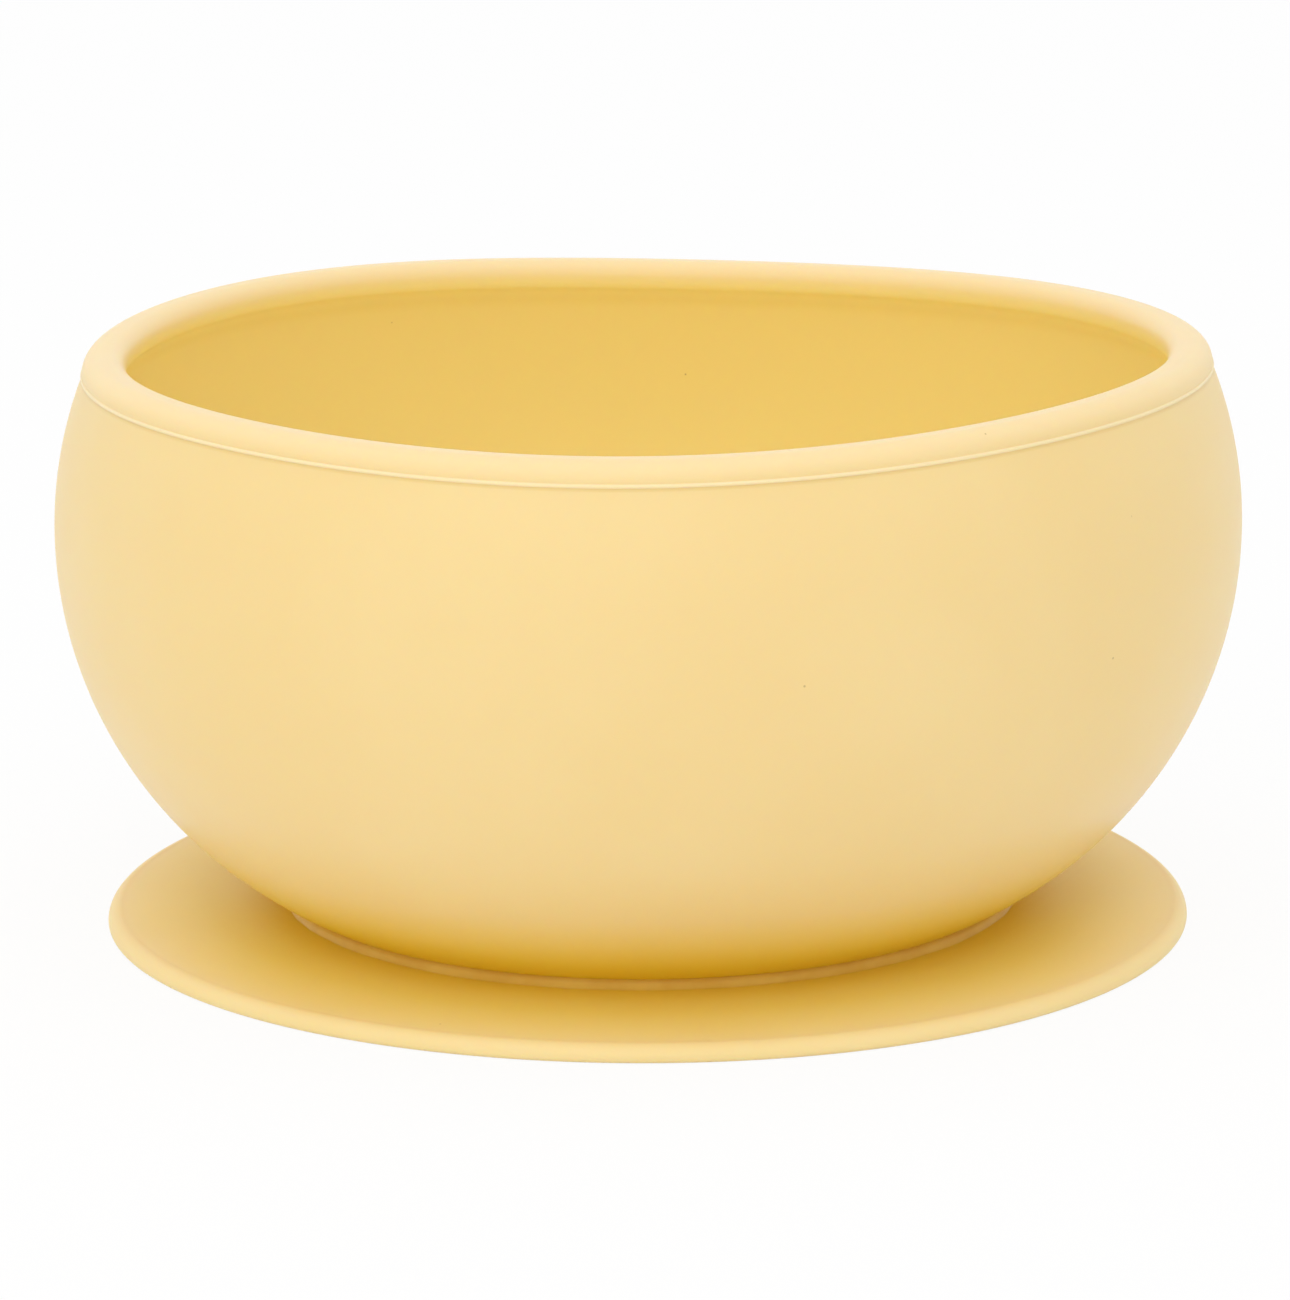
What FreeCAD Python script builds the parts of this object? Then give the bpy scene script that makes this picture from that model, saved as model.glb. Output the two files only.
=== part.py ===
import FreeCAD, Part

import os
from math import hypot, sqrt

import Sketcher
from FreeCAD import Vector

# Suction bowl: a thick-walled silicone bowl bonded to a thin silicone suction disc.
# Units are millimetres. The origin is on the axis in the plane of the table, +Z up.

DRIVING_SIZES = {
    # suction disc
    "disc_radius": 55.4,         # widest point of the lip
    "lip_face_width": 1.5,       # from the widest point in to the edge of the top
    "lip_side_height": 0.45,     # height of the widest point
    "top_fall": 0.18,            # how much lower the top is at its edge than at the seat
    "seal_inset": 0.35,          # from the widest point in to the sealing ring
    "seal_width": 3.85,          # sealing ring on the table
    "cavity_slope_width": 5.7,   # from the sealing ring in to the cavity's roof
    "cavity_depth": 0.9,         # roof above the table
    "seat_height": 1.9,          # flat top under the bowl's foot
    "seat_margin": 1.2,          # flat seat left outside the bead
    # bond
    "film_thickness": 0.15,      # adhesive between the foot and the seat
    "bead_height": 1.0,          # squeezed-out bead, seat to belly
    "bead_spread": 0.35,         # bead's toe outside the belly's lower edge
    "bead_hollow": 0.12,         # how far the bead's face is hollowed
    # bowl, outside
    "crease_radius": 37.3,       # where the belly meets the bead
    "foot_inset": 1.1,           # from the crease in to the edge of the flat foot
    "belly_radius": 60.0,        # widest point
    "belly_height": 40.5,
    "shoulder_arc": 40.7,        # curve from the widest point up to the witness line
    "witness_width": 0.44,       # mould witness line
    "witness_proud": 0.16,
    # rim
    "rim_height": 58.55,         # overall height
    "rim_depth": 2.45,           # from the top down to the witness line
    "rim_outer_arc": 1.95,
    "rim_land": 0.75,            # flat top of the rim
    "rim_inner_arc": 1.75,
    "rim_blend_arc": 5.0,        # hollow curve from the rim back to the wall
    # bowl, inside
    "wall": 3.0,
    "floor_thickness": 3.2,
    "floor_arc": 22.0,           # curve from the floor up to the wall
}

# Places that follow from the driving sizes
DERIVED_SIZES = {
    "foot_radius": "<<Sizes>>.crease_radius - <<Sizes>>.foot_inset",
    "foot_height": "<<Sizes>>.seat_height + <<Sizes>>.film_thickness",
    "floor_height": "foot_height + <<Sizes>>.floor_thickness",
    "crease_height": "<<Sizes>>.seat_height + <<Sizes>>.bead_height",
    "bead_radius": "<<Sizes>>.crease_radius + <<Sizes>>.bead_spread",
    "seat_radius": "bead_radius + <<Sizes>>.seat_margin",
    "lip_edge_radius": "<<Sizes>>.disc_radius - <<Sizes>>.lip_face_width",
    "lip_edge_height": "<<Sizes>>.seat_height - <<Sizes>>.top_fall",
    "seal_outer_radius": "<<Sizes>>.disc_radius - <<Sizes>>.seal_inset",
    "seal_inner_radius": "seal_outer_radius - <<Sizes>>.seal_width",
    "cavity_roof_radius": "seal_inner_radius - <<Sizes>>.cavity_slope_width",
    "inside_radius": "<<Sizes>>.belly_radius - <<Sizes>>.wall",
    "witness_height": "<<Sizes>>.rim_height - <<Sizes>>.rim_depth",
}

FULL_TURN = 360.0
START, END, CENTRE = 1, 2, 3
ORIGIN_POINT = (-1, 1)
ACROSS, UP = "X", "Y"
VOLUME_STEP = 1.0


def make_sheet(doc, name, contents):
    """Put each content into a named cell of a new sheet."""
    sheet = doc.addObject("Spreadsheet::Sheet", name)
    for row, (alias, content) in enumerate(contents.items(), start=1):
        sheet.set(f"A{row}", alias)
        sheet.set(f"B{row}", content)
        sheet.setAlias(f"B{row}", alias)
    doc.recompute()
    return sheet


def cell(alias):
    """Name of a size's cell, as a formula writes it."""
    sheet = "Sizes" if alias in DRIVING_SIZES else "Derived"
    return f"<<{sheet}>>.{alias}"


def bulge_formula(chord_square, rise):
    """The same radius as `bulge` gives, as a formula on the sheet."""
    return f"({chord_square} / 4 + {cell(rise)} ^ 2) / (2 * {cell(rise)})"


class Sizes:
    """A sheet of the driving sizes, all plain numbers, and a sheet of the places that follow from them."""

    def __init__(self, doc):
        numbers = {alias: str(value) for alias, value in DRIVING_SIZES.items()}
        formulas = {alias: f"={formula}" for alias, formula in DERIVED_SIZES.items()}
        self.driving = make_sheet(doc, "Sizes", numbers)
        self.derived = make_sheet(doc, "Derived", formulas)

    def __getattr__(self, alias):
        """A size's value, read from its cell."""
        sheet = self.driving if alias in DRIVING_SIZES else self.derived
        return float(getattr(sheet, alias))


def bulge(chord, rise):
    """Radius of the arc that stands `rise` above the middle of a chord."""
    return (chord * chord / 4.0 + rise * rise) / (2.0 * rise)


def along(start, end, distance):
    """Point at a distance from start on the ray through end."""
    step = end - start
    return start + step * (distance / step.Length)


def tangent_circle(first, first_gap, second, second_gap, side):
    """Centre of a circle at set gaps from two centres, left of the line between them where side is 1."""
    step = second - first
    span = step.Length
    run = (first_gap ** 2 - second_gap ** 2 + span ** 2) / (2.0 * span)
    rise = sqrt(first_gap ** 2 - run ** 2)
    across = Vector(-step.y, step.x, 0.0) / span
    return first + step * (run / span) + across * (rise * side)


class Section:
    """Closed half-section in the XZ plane of a body: across is the radius and up is the height."""

    def __init__(self, body, name):
        plane = next(item for item in body.Origin.OriginFeatures if item.Role == "XZ_Plane")
        self.sketch = body.newObject("Sketcher::SketchObject", name)
        self.sketch.AttachmentSupport = [(plane, "")]
        self.sketch.MapMode = "FlatFace"
        self.edges = {}

    def line(self, name, start, end):
        """Straight edge."""
        self.edges[name] = self.sketch.addGeometry(Part.LineSegment(start, end), False)

    def arc(self, name, start, centre, end):
        """Round edge about a centre, the short way round."""
        middle_way = (start + end) * 0.5 - centre
        middle = centre + middle_way * ((start - centre).Length / middle_way.Length)
        self.arc_through(name, start, middle, end)

    def arc_through(self, name, start, middle, end):
        """Round edge through three points."""
        self.edges[name] = self.sketch.addGeometry(Part.Arc(start, middle, end), False)

    def end_near(self, name, point):
        """The end of an edge that lies at a point."""
        edge = self.edges[name]
        return min((START, END), key=lambda end: (self.sketch.getPoint(edge, end) - point).Length)

    def join(self, first, second, point, smooth=False):
        """Hold two edges together at a point, and tangent there if smooth."""
        kind = "Tangent" if smooth else "Coincident"
        first_end = self.end_near(first, point)
        second_end = self.end_near(second, point)
        edges = (self.edges[first], first_end, self.edges[second], second_end)
        self.sketch.addConstraint(Sketcher.Constraint(kind, *edges))

    def level(self, name):
        """Hold a straight edge level."""
        self.sketch.addConstraint(Sketcher.Constraint("Horizontal", self.edges[name]))

    def upright(self, name):
        """Hold a straight edge upright."""
        self.sketch.addConstraint(Sketcher.Constraint("Vertical", self.edges[name]))

    def same_centre(self, first, second):
        """Give two round edges one centre."""
        ends = (self.edges[first], CENTRE, self.edges[second], CENTRE)
        self.sketch.addConstraint(Sketcher.Constraint("Coincident", *ends))

    def bind(self, label, constraint, formula):
        """Add a dimension and tie it to the sheet."""
        index = self.sketch.addConstraint(constraint)
        self.sketch.renameConstraint(index, label)
        self.sketch.setExpression(f"Constraints.{label}", formula)

    def place(self, name, end, direction, value, alias):
        """Tie how far across or up an edge's end or centre stands to a cell of the sheet."""
        where = (*ORIGIN_POINT, self.edges[name], end)
        label = f"{name}_{alias}_{direction}_{end}"
        self.bind(label, Sketcher.Constraint(f"Distance{direction}", *where, value), cell(alias))

    def across(self, name, point, alias):
        """Tie the radius of an edge's end to the sheet."""
        self.place(name, self.end_near(name, point), ACROSS, point.x, alias)

    def up(self, name, point, alias):
        """Tie the height of an edge's end to the sheet."""
        self.place(name, self.end_near(name, point), UP, point.y, alias)

    def centre_up(self, name, height, alias):
        """Tie the height of an arc's centre to the sheet."""
        self.place(name, CENTRE, UP, height, alias)

    def on_axis(self, name, point):
        """Hold an edge's end on the bowl's axis."""
        end = self.end_near(name, point)
        self.sketch.addConstraint(Sketcher.Constraint("PointOnObject", self.edges[name], end, -2))

    def on_table(self, name, point):
        """Hold an edge's end in the plane of the table."""
        end = self.end_near(name, point)
        self.sketch.addConstraint(Sketcher.Constraint("PointOnObject", self.edges[name], end, -1))

    def radius(self, name, value, formula):
        """Tie an arc's radius to the sheet."""
        constraint = Sketcher.Constraint("Radius", self.edges[name], value)
        self.bind(f"{name}_arc", constraint, formula)


def revolve(body, section, kind, name):
    """Turn a section a full turn about the body's upright axis."""
    feature = body.newObject(kind, name)
    feature.Profile = section.sketch
    feature.ReferenceAxis = (section.sketch, ["V_Axis"])
    feature.Angle = FULL_TURN
    section.sketch.Visibility = False
    return feature


def new_body(doc, label):
    """Empty body that stands at the bowl's own origin."""
    body = doc.addObject("PartDesign::Body", label)
    body.Label = label
    body.Placement = FreeCAD.Placement()
    return body


def bowl_centres(sizes):
    """Centres of the flank and shoulder curves, both level with the widest point, and the flank's radius."""
    run = sizes.belly_radius - sizes.crease_radius
    rise = sizes.belly_height - sizes.crease_height
    flank_arc = (run ** 2 + rise ** 2) / (2.0 * run)
    flank = Vector(sizes.belly_radius - flank_arc, sizes.belly_height, 0.0)
    shoulder = Vector(sizes.belly_radius - sizes.shoulder_arc, sizes.belly_height, 0.0)
    return flank, shoulder, flank_arc


def on_arc_at_height(centre, radius, height):
    """Outer point of a circle at a height."""
    rise = height - centre.y
    return Vector(centre.x + sqrt(radius * radius - rise * rise), height, 0.0)


def draw_bowl_outside(section, sizes):
    """Foot, belly and witness line, from the axis outwards and up. Returns the witness line's ends."""
    flank_centre, shoulder_centre, _ = bowl_centres(sizes)
    foot_middle = Vector(0.0, sizes.foot_height, 0.0)
    foot_edge = Vector(sizes.foot_radius, sizes.foot_height, 0.0)
    crease = Vector(sizes.crease_radius, sizes.crease_height, 0.0)
    belly = Vector(sizes.belly_radius, sizes.belly_height, 0.0)
    witness_low = on_arc_at_height(shoulder_centre, sizes.shoulder_arc, sizes.witness_height)
    witness_high = witness_low + Vector(0.0, sizes.witness_width, 0.0)
    witness_nose = (witness_low + witness_high) * 0.5 + Vector(sizes.witness_proud, 0.0, 0.0)

    section.line("foot", foot_middle, foot_edge)
    section.line("foot_side", foot_edge, crease)
    section.arc("flank", crease, flank_centre, belly)
    section.arc("shoulder", belly, shoulder_centre, witness_low)
    section.arc_through("witness", witness_low, witness_nose, witness_high)
    section.join("foot", "foot_side", foot_edge)
    section.join("foot_side", "flank", crease)
    section.join("flank", "shoulder", belly)
    section.join("shoulder", "witness", witness_low)

    section.level("foot")
    section.on_axis("foot", foot_middle)
    section.up("foot", foot_middle, "foot_height")
    section.across("foot", foot_edge, "foot_radius")
    section.across("foot_side", crease, "crease_radius")
    section.up("foot_side", crease, "crease_height")
    section.across("flank", belly, "belly_radius")
    section.up("flank", belly, "belly_height")
    section.centre_up("flank", belly.y, "belly_height")
    section.centre_up("shoulder", belly.y, "belly_height")
    section.radius("shoulder", sizes.shoulder_arc, cell("shoulder_arc"))
    section.up("shoulder", witness_low, "witness_height")
    section.radius("witness", bulge(sizes.witness_width, sizes.witness_proud),
                   bulge_formula(f"{cell('witness_width')} ^ 2", "witness_proud"))
    return witness_low, witness_high


def draw_rim(section, sizes, witness_low, witness_high):
    """Rim from the witness line over the top and back to the wall. Returns where the inside wall starts."""
    _, shoulder_centre, _ = bowl_centres(sizes)
    inside_arc = sizes.shoulder_arc - sizes.wall
    outer_centre = Vector(witness_high.x - sizes.rim_outer_arc, sizes.rim_height - sizes.rim_outer_arc, 0.0)
    side_top = outer_centre + Vector(sizes.rim_outer_arc, 0.0, 0.0)
    land_outer = outer_centre + Vector(0.0, sizes.rim_outer_arc, 0.0)
    land_inner = land_outer - Vector(sizes.rim_land, 0.0, 0.0)
    inner_centre = land_inner - Vector(0.0, sizes.rim_inner_arc, 0.0)
    blend_centre = tangent_circle(
        inner_centre, sizes.rim_inner_arc + sizes.rim_blend_arc,
        shoulder_centre, inside_arc - sizes.rim_blend_arc, 1.0)
    blend_top = along(inner_centre, blend_centre, sizes.rim_inner_arc)
    wall_start = along(shoulder_centre, blend_centre, inside_arc)

    section.line("rim_side", witness_high, side_top)
    section.arc("rim_outer", side_top, outer_centre, land_outer)
    section.line("rim_land", land_outer, land_inner)
    section.arc("rim_inner", land_inner, inner_centre, blend_top)
    section.arc("rim_blend", blend_top, blend_centre, wall_start)
    section.join("witness", "rim_side", witness_high)
    section.join("rim_side", "rim_outer", side_top, smooth=True)
    section.join("rim_outer", "rim_land", land_outer, smooth=True)
    section.join("rim_land", "rim_inner", land_inner, smooth=True)
    section.join("rim_inner", "rim_blend", blend_top, smooth=True)

    section.upright("rim_side")
    section.level("rim_land")
    witness = (section.edges["witness"], section.end_near("witness", witness_low),
               section.edges["witness"], section.end_near("witness", witness_high))
    section.sketch.addConstraint(Sketcher.Constraint("Vertical", *witness))
    section.bind("witness_width", Sketcher.Constraint("DistanceY", *witness, sizes.witness_width),
                 cell("witness_width"))
    land = (section.edges["rim_land"], section.end_near("rim_land", land_inner),
            section.edges["rim_land"], section.end_near("rim_land", land_outer))
    section.bind("rim_land", Sketcher.Constraint("DistanceX", *land, sizes.rim_land), cell("rim_land"))
    section.up("rim_land", land_outer, "rim_height")
    section.radius("rim_outer", sizes.rim_outer_arc, cell("rim_outer_arc"))
    section.radius("rim_inner", sizes.rim_inner_arc, cell("rim_inner_arc"))
    section.radius("rim_blend", sizes.rim_blend_arc, cell("rim_blend_arc"))
    return wall_start


def draw_bowl_inside(section, sizes, wall_start):
    """Inside wall and floor, back to the axis."""
    flank_centre, shoulder_centre, flank_arc = bowl_centres(sizes)
    inside_flank_arc = flank_arc - sizes.wall
    inside_belly = Vector(sizes.inside_radius, sizes.belly_height, 0.0)
    floor_centre = on_arc_at_height(
        flank_centre, inside_flank_arc - sizes.floor_arc, sizes.floor_height + sizes.floor_arc)
    floor_top = along(flank_centre, floor_centre, inside_flank_arc)
    floor_edge = Vector(floor_centre.x, sizes.floor_height, 0.0)
    floor_middle = Vector(0.0, sizes.floor_height, 0.0)
    foot_middle = Vector(0.0, sizes.foot_height, 0.0)

    section.arc("inside_shoulder", wall_start, shoulder_centre, inside_belly)
    section.arc("inside_flank", inside_belly, flank_centre, floor_top)
    section.arc("floor_curve", floor_top, floor_centre, floor_edge)
    section.line("floor", floor_edge, floor_middle)
    section.line("axis", floor_middle, foot_middle)
    section.join("rim_blend", "inside_shoulder", wall_start, smooth=True)
    section.join("inside_shoulder", "inside_flank", inside_belly)
    section.join("inside_flank", "floor_curve", floor_top, smooth=True)
    section.join("floor_curve", "floor", floor_edge, smooth=True)
    section.join("floor", "axis", floor_middle)
    section.join("axis", "foot", foot_middle)

    section.same_centre("shoulder", "inside_shoulder")
    section.same_centre("flank", "inside_flank")
    section.across("inside_flank", inside_belly, "inside_radius")
    section.up("inside_flank", inside_belly, "belly_height")
    section.radius("floor_curve", sizes.floor_arc, cell("floor_arc"))
    section.level("floor")
    section.on_axis("floor", floor_middle)
    section.up("floor", floor_middle, "floor_height")


def make_bowl(doc, sizes):
    """Bowl: one moulding with a rolled rim and a witness line, standing on its flat foot."""
    body = new_body(doc, "bowl")
    section = Section(body, "bowl_section")
    witness_low, witness_high = draw_bowl_outside(section, sizes)
    wall_start = draw_rim(section, sizes, witness_low, witness_high)
    draw_bowl_inside(section, sizes, wall_start)
    doc.recompute()
    revolve(body, section, "PartDesign::Revolution", "bowl_turned")
    doc.recompute()
    return body


def make_bond_bead(doc, sizes):
    """Bond: a thin film under the foot that ends in a hollow-faced bead round it."""
    seat_middle = Vector(0.0, sizes.seat_height, 0.0)
    toe = Vector(sizes.bead_radius, sizes.seat_height, 0.0)
    crease = Vector(sizes.crease_radius, sizes.crease_height, 0.0)
    foot_edge = Vector(sizes.foot_radius, sizes.foot_height, 0.0)
    foot_middle = Vector(0.0, sizes.foot_height, 0.0)
    chord = hypot(sizes.bead_spread, sizes.bead_height)
    inward = Vector(-sizes.bead_height, -sizes.bead_spread, 0.0) / chord
    face_middle = (toe + crease) * 0.5 + inward * sizes.bead_hollow

    body = new_body(doc, "bond_bead")
    section = Section(body, "bond_section")
    section.line("underside", seat_middle, toe)
    section.arc_through("face", toe, face_middle, crease)
    section.line("foot_side", crease, foot_edge)
    section.line("film_top", foot_edge, foot_middle)
    section.line("axis", foot_middle, seat_middle)
    section.join("underside", "face", toe)
    section.join("face", "foot_side", crease)
    section.join("foot_side", "film_top", foot_edge)
    section.join("film_top", "axis", foot_middle)
    section.join("axis", "underside", seat_middle)

    section.level("underside")
    section.on_axis("underside", seat_middle)
    section.up("underside", seat_middle, "seat_height")
    section.across("underside", toe, "bead_radius")
    section.across("foot_side", crease, "crease_radius")
    section.up("foot_side", crease, "crease_height")
    section.level("film_top")
    section.on_axis("film_top", foot_middle)
    section.up("film_top", foot_middle, "foot_height")
    section.across("film_top", foot_edge, "foot_radius")
    chord_square = f"({cell('bead_spread')} ^ 2 + {cell('bead_height')} ^ 2)"
    section.radius("face", bulge(chord, sizes.bead_hollow), bulge_formula(chord_square, "bead_hollow"))
    doc.recompute()
    revolve(body, section, "PartDesign::Revolution", "bond_turned")
    doc.recompute()
    return body


def draw_disc(section, sizes):
    """Outside of the disc, closed underneath in the plane of the table."""
    seat_middle = Vector(0.0, sizes.seat_height, 0.0)
    seat_edge = Vector(sizes.seat_radius, sizes.seat_height, 0.0)
    lip_edge = Vector(sizes.lip_edge_radius, sizes.lip_edge_height, 0.0)
    lip_side = Vector(sizes.disc_radius, sizes.lip_side_height, 0.0)
    seal_outer = Vector(sizes.seal_outer_radius, 0.0, 0.0)
    table_middle = Vector(0.0, 0.0, 0.0)

    # Above and below its widest point the lip is round, about centres level with that point.
    face_rise = lip_edge.y - lip_side.y
    face_arc = (sizes.lip_face_width ** 2 + face_rise ** 2) / (2.0 * sizes.lip_face_width)
    face_centre = lip_side - Vector(face_arc, 0.0, 0.0)
    under_arc = (sizes.seal_inset ** 2 + lip_side.y ** 2) / (2.0 * sizes.seal_inset)
    under_centre = lip_side - Vector(under_arc, 0.0, 0.0)

    section.line("seat", seat_middle, seat_edge)
    section.line("top", seat_edge, lip_edge)
    section.arc("lip_face", lip_edge, face_centre, lip_side)
    section.arc("lip_under", lip_side, under_centre, seal_outer)
    section.line("table", seal_outer, table_middle)
    section.line("axis", table_middle, seat_middle)
    section.join("seat", "top", seat_edge)
    section.join("top", "lip_face", lip_edge)
    section.join("lip_face", "lip_under", lip_side)
    section.join("lip_under", "table", seal_outer)
    section.join("table", "axis", table_middle)
    section.join("axis", "seat", seat_middle)

    section.level("seat")
    section.on_axis("seat", seat_middle)
    section.up("seat", seat_middle, "seat_height")
    section.across("seat", seat_edge, "seat_radius")
    section.across("top", lip_edge, "lip_edge_radius")
    section.up("top", lip_edge, "lip_edge_height")
    section.across("lip_face", lip_side, "disc_radius")
    section.up("lip_face", lip_side, "lip_side_height")
    section.centre_up("lip_face", lip_side.y, "lip_side_height")
    section.centre_up("lip_under", lip_side.y, "lip_side_height")
    section.across("table", seal_outer, "seal_outer_radius")
    section.on_table("table", seal_outer)
    section.on_axis("table", table_middle)
    section.on_table("table", table_middle)


def draw_cavity(section, sizes):
    """Suction cavity: a slope up from the sealing ring to a level roof."""
    table_middle = Vector(0.0, 0.0, 0.0)
    seal_inner = Vector(sizes.seal_inner_radius, 0.0, 0.0)
    roof_edge = Vector(sizes.cavity_roof_radius, sizes.cavity_depth, 0.0)
    roof_middle = Vector(0.0, sizes.cavity_depth, 0.0)
    section.line("table", table_middle, seal_inner)
    section.line("slope", seal_inner, roof_edge)
    section.line("roof", roof_edge, roof_middle)
    section.line("axis", roof_middle, table_middle)
    section.join("table", "slope", seal_inner)
    section.join("slope", "roof", roof_edge)
    section.join("roof", "axis", roof_middle)
    section.join("axis", "table", table_middle)

    section.on_axis("table", table_middle)
    section.on_table("table", table_middle)
    section.across("table", seal_inner, "seal_inner_radius")
    section.on_table("table", seal_inner)
    section.level("roof")
    section.across("roof", roof_edge, "cavity_roof_radius")
    section.on_axis("roof", roof_middle)
    section.up("roof", roof_middle, "cavity_depth")


def make_suction_base(doc, sizes):
    """Suction disc: a thin disc with a rounded lip, hollowed underneath inside its sealing ring."""
    body = new_body(doc, "suction_base")
    disc = Section(body, "disc_section")
    draw_disc(disc, sizes)
    doc.recompute()
    turned = revolve(body, disc, "PartDesign::Revolution", "disc_turned")
    doc.recompute()
    full_volume = turned.Shape.Volume
    cavity = Section(body, "cavity_section")
    draw_cavity(cavity, sizes)
    doc.recompute()
    groove = revolve(body, cavity, "PartDesign::Groove", "suction_cavity")
    doc.recompute()
    if groove.Shape.Volume > full_volume - VOLUME_STEP:
        raise RuntimeError("the suction cavity cut nothing out of the disc")
    return body


def check(doc, bodies):
    """Stop if any object failed or any sub-part is not one valid solid."""
    doc.recompute()
    for item in doc.Objects:
        if "Invalid" in item.State or "Error" in item.State:
            raise RuntimeError(f"{item.Name} did not recompute: {item.State}")
    for body in bodies:
        shape = body.Shape
        if shape.isNull() or not shape.isValid() or len(shape.Solids) != 1:
            raise RuntimeError(f"{body.Label} is not one valid solid")


def check_sections(doc):
    """Stop if a sketch is left with freedom, or its constraints fight."""
    for sketch in doc.findObjects("Sketcher::SketchObject"):
        if sketch.solve() != 0:
            raise RuntimeError(f"{sketch.Name} has constraints that fight")
        if not sketch.FullyConstrained:
            raise RuntimeError(f"{sketch.Name} is not fully constrained")


def write_parts(bodies):
    """Write each sub-part to a STEP file of its own."""
    os.makedirs("parts", exist_ok=True)
    for body in bodies:
        body.Shape.exportStep(f"parts/{body.Label}.step")
        box = body.Shape.optimalBoundingBox(False, False)
        print(f"{body.Label}: {body.Shape.Volume:.1f} mm3, height {box.ZMin:.3f} to {box.ZMax:.3f}")


def main():
    """Build the sheets and the three sub-parts, check them and write them."""
    doc = FreeCAD.newDocument("suction_bowl")
    sizes = Sizes(doc)
    bodies = [
        make_suction_base(doc, sizes),
        make_bond_bead(doc, sizes),
        make_bowl(doc, sizes),
    ]
    check(doc, bodies)
    check_sections(doc)
    write_parts(bodies)


main()
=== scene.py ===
"""Suction bowl for weaning: the looks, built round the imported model.

A soft, round-bellied silicone bowl stands on a thin suction disc. A bead of silicone adhesive bonds the two.
All lengths are in metres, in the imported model's own frame.
"""

import logging
import math
from dataclasses import dataclass, field
from enum import Enum
from typing import Any, Callable

import bmesh
import bpy
from mathutils import Matrix, Vector, noise


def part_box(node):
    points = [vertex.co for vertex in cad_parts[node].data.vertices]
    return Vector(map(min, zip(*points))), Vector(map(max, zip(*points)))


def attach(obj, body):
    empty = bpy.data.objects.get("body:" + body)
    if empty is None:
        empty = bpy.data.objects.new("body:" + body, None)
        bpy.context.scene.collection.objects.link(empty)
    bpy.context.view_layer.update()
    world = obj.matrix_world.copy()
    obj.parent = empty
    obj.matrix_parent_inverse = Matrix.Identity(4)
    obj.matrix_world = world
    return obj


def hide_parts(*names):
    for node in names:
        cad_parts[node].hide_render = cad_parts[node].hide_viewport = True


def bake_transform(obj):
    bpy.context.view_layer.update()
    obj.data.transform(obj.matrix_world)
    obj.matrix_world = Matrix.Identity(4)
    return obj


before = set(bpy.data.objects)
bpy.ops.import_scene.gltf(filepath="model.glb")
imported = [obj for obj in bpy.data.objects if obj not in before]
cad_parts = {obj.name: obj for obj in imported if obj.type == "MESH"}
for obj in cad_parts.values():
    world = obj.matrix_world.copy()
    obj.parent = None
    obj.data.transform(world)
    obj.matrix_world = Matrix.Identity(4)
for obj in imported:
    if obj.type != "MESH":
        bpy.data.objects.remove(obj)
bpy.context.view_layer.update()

log = logging.getLogger("suction_bowl")

MM = 0.001
TURN = math.tau
CREASE_RADIUS = 37.3 * MM
FOOT_INSET = 1.1 * MM
BELLY_HEIGHT = 40.5 * MM
SAG_POWER = 2
SECTION = "section"
NOISE_MIDDLE = 0.5

Colour = tuple[float, float, float, float]
Stops = tuple[tuple[float, Colour], ...]
Point = tuple[float, float]


class Body(Enum):
    """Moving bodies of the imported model."""

    DISC = "disc_body"
    BOWL = "bowl_body"


class Slot(Enum):
    """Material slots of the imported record."""

    BOWL = "bowl_silicone"
    BEAD = "bead_adhesive"
    BASE = "base_silicone"


def colour(red: float, green: float, blue: float) -> Colour:
    """Opaque colour from linear red, green and blue."""
    return (red, green, blue, 1.0)


# ---------------------------------------------------------------- shader trees


class Value:
    """One output socket of a shader tree, with the sums that are used on it."""

    def __init__(self, tree: "ShaderTree", socket: bpy.types.NodeSocket) -> None:
        """Wrap a socket.

        Args:
            tree: the tree that the socket belongs to.
            socket: the output socket.
        """
        self.tree = tree
        self.socket = socket

    def _sum(self, operation: str, first: Any, second: Any) -> "Value":
        """Add one Math node to the tree.

        Args:
            operation: the Math node's operation.
            first: a number or a Value.
            second: a number or a Value.

        Returns:
            The node's output.
        """
        return self.tree.node("ShaderNodeMath", {"operation": operation}, {0: first, 1: second})

    def __add__(self, other: Any) -> "Value":
        """Value plus a number or Value."""
        return self._sum("ADD", self, other)

    def __radd__(self, other: Any) -> "Value":
        """Number plus this value."""
        return self._sum("ADD", other, self)

    def __sub__(self, other: Any) -> "Value":
        """Value less a number or Value."""
        return self._sum("SUBTRACT", self, other)

    def __rsub__(self, other: Any) -> "Value":
        """Number less this value."""
        return self._sum("SUBTRACT", other, self)

    def __mul__(self, other: Any) -> "Value":
        """Value times a number or Value."""
        return self._sum("MULTIPLY", self, other)

    def __rmul__(self, other: Any) -> "Value":
        """Number times this value."""
        return self._sum("MULTIPLY", other, self)

    def either(self, other: "Value") -> "Value":
        """The larger of two values."""
        return self._sum("MAXIMUM", self, other)


Owner = bpy.types.Material | bpy.types.World


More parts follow.
